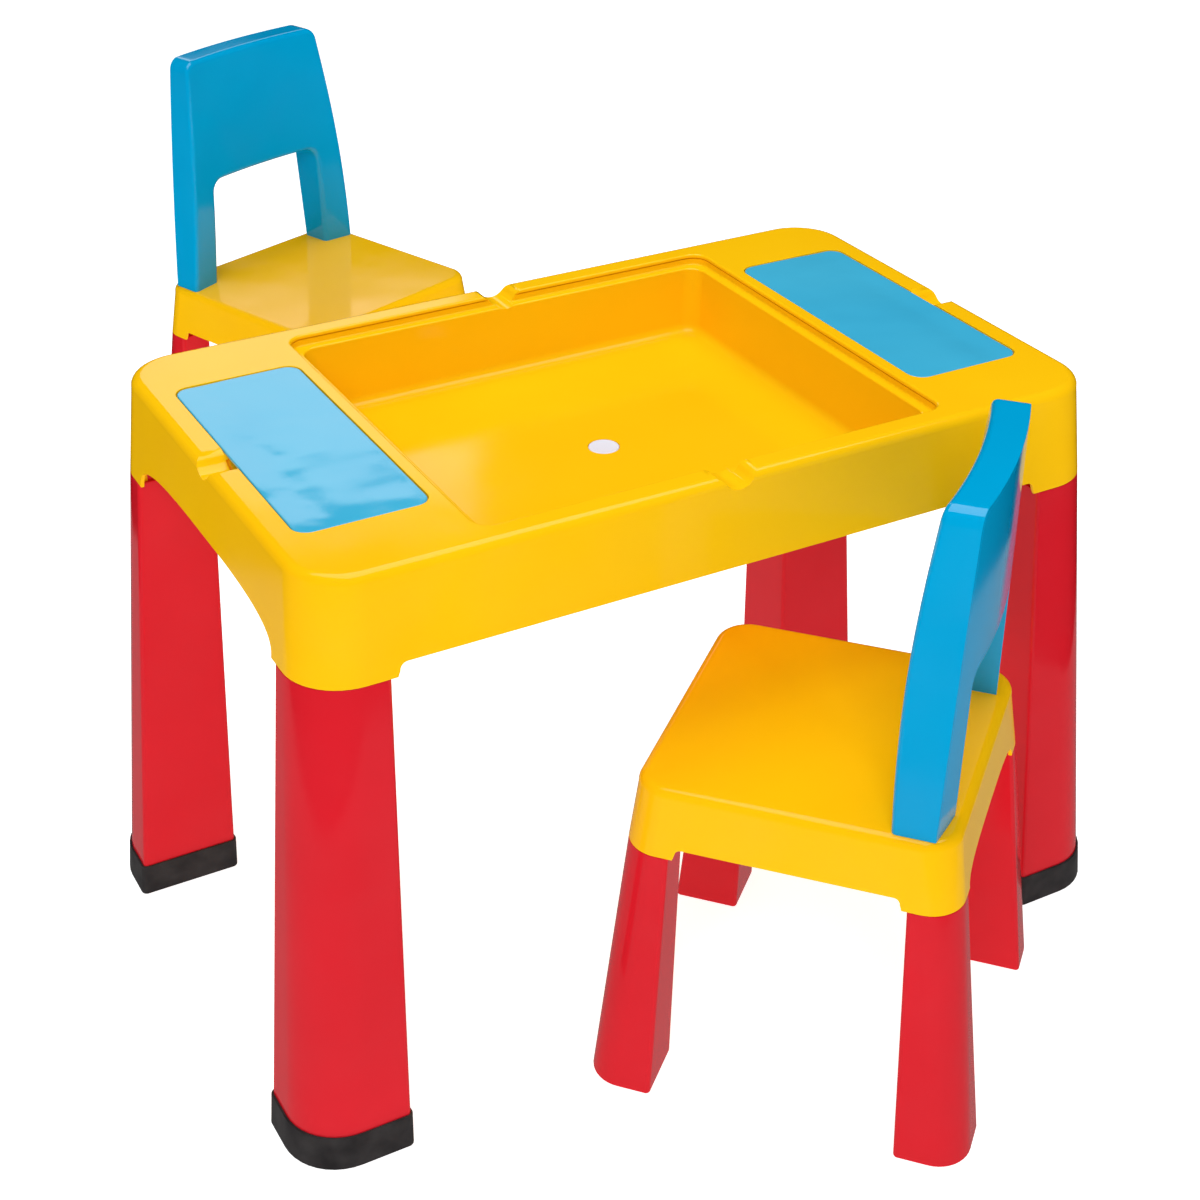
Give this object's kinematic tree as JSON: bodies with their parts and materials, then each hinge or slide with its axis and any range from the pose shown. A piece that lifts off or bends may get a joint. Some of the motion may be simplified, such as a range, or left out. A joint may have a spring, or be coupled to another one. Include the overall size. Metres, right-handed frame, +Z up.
{
  "type": "kids table and chairs",
  "caption": "Child's play table with a sunken tray, lift-off pocket lids and flared legs in foot caps, with matching chairs that have open curved backs.",
  "frame": {"origin": "on the floor under the middle of the table", "axes": "+X along the table's long side to the right, -Y towards the table's front long side, +Z up"},
  "size_m": [0.7644, 1.414, 0.53],
  "materials": {
    "yellow_plastic": "glossy moulded plastic, warm yellow",
    "red_plastic": "glossy moulded plastic, strong red",
    "blue_plastic": "glossy moulded plastic, bright blue",
    "lid_plastic": "very glossy thin moulded plastic, light blue, faintly wavy",
    "cap_rubber": "black satin rubber",
    "white_plastic": "smooth white plastic"
  },
  "bodies": {
    "table": {"table_top": "yellow_plastic", "table_leg_front_left": "red_plastic", "table_leg_front_right": "red_plastic", "table_leg_back_right": "red_plastic", "table_leg_back_left": "red_plastic", "foot_cap_front_left": "cap_rubber", "foot_cap_front_right": "cap_rubber", "foot_cap_back_right": "cap_rubber", "foot_cap_back_left": "cap_rubber"},
    "left_lid": {"left_lid": "lid_plastic"},
    "right_lid": {"right_lid": "lid_plastic"},
    "drain_plug": {"drain_plug": "white_plastic"},
    "front_chair": {"front_chair_seat": "yellow_plastic", "front_chair_leg_1": "red_plastic", "front_chair_leg_2": "red_plastic", "front_chair_leg_3": "red_plastic", "front_chair_leg_4": "red_plastic", "front_chair_back_shell": "blue_plastic", "front_chair_back_cover": "blue_plastic"},
    "rear_chair": {"rear_chair_seat": "yellow_plastic", "rear_chair_leg_1": "red_plastic", "rear_chair_leg_2": "red_plastic", "rear_chair_leg_3": "red_plastic", "rear_chair_leg_4": "red_plastic", "rear_chair_back_shell": "blue_plastic", "rear_chair_back_cover": "blue_plastic"}
  },
  "joints": [
    {"name": "left_lid_lift", "type": "slide", "parent": "table", "child": "left_lid", "axis": [0, 0, 1], "range_m": [0, 0.15]},
    {"name": "right_lid_lift", "type": "slide", "parent": "table", "child": "right_lid", "axis": [0, 0, 1], "range_m": [0, 0.15]},
    {"name": "drain_plug_pull", "type": "slide", "parent": "table", "child": "drain_plug", "axis": [0, 0, 1], "range_m": [0, 0.06]},
    {"name": "front_chair_slide", "type": "slide", "parent": "table", "child": "front_chair", "axis": [0.6639, -0.7478, 0], "range_m": [0, 0.3]},
    {"name": "rear_chair_slide", "type": "slide", "parent": "table", "child": "rear_chair", "axis": [0.3502, -0.9367, 0], "range_m": [0, 0.25]}
  ]
}
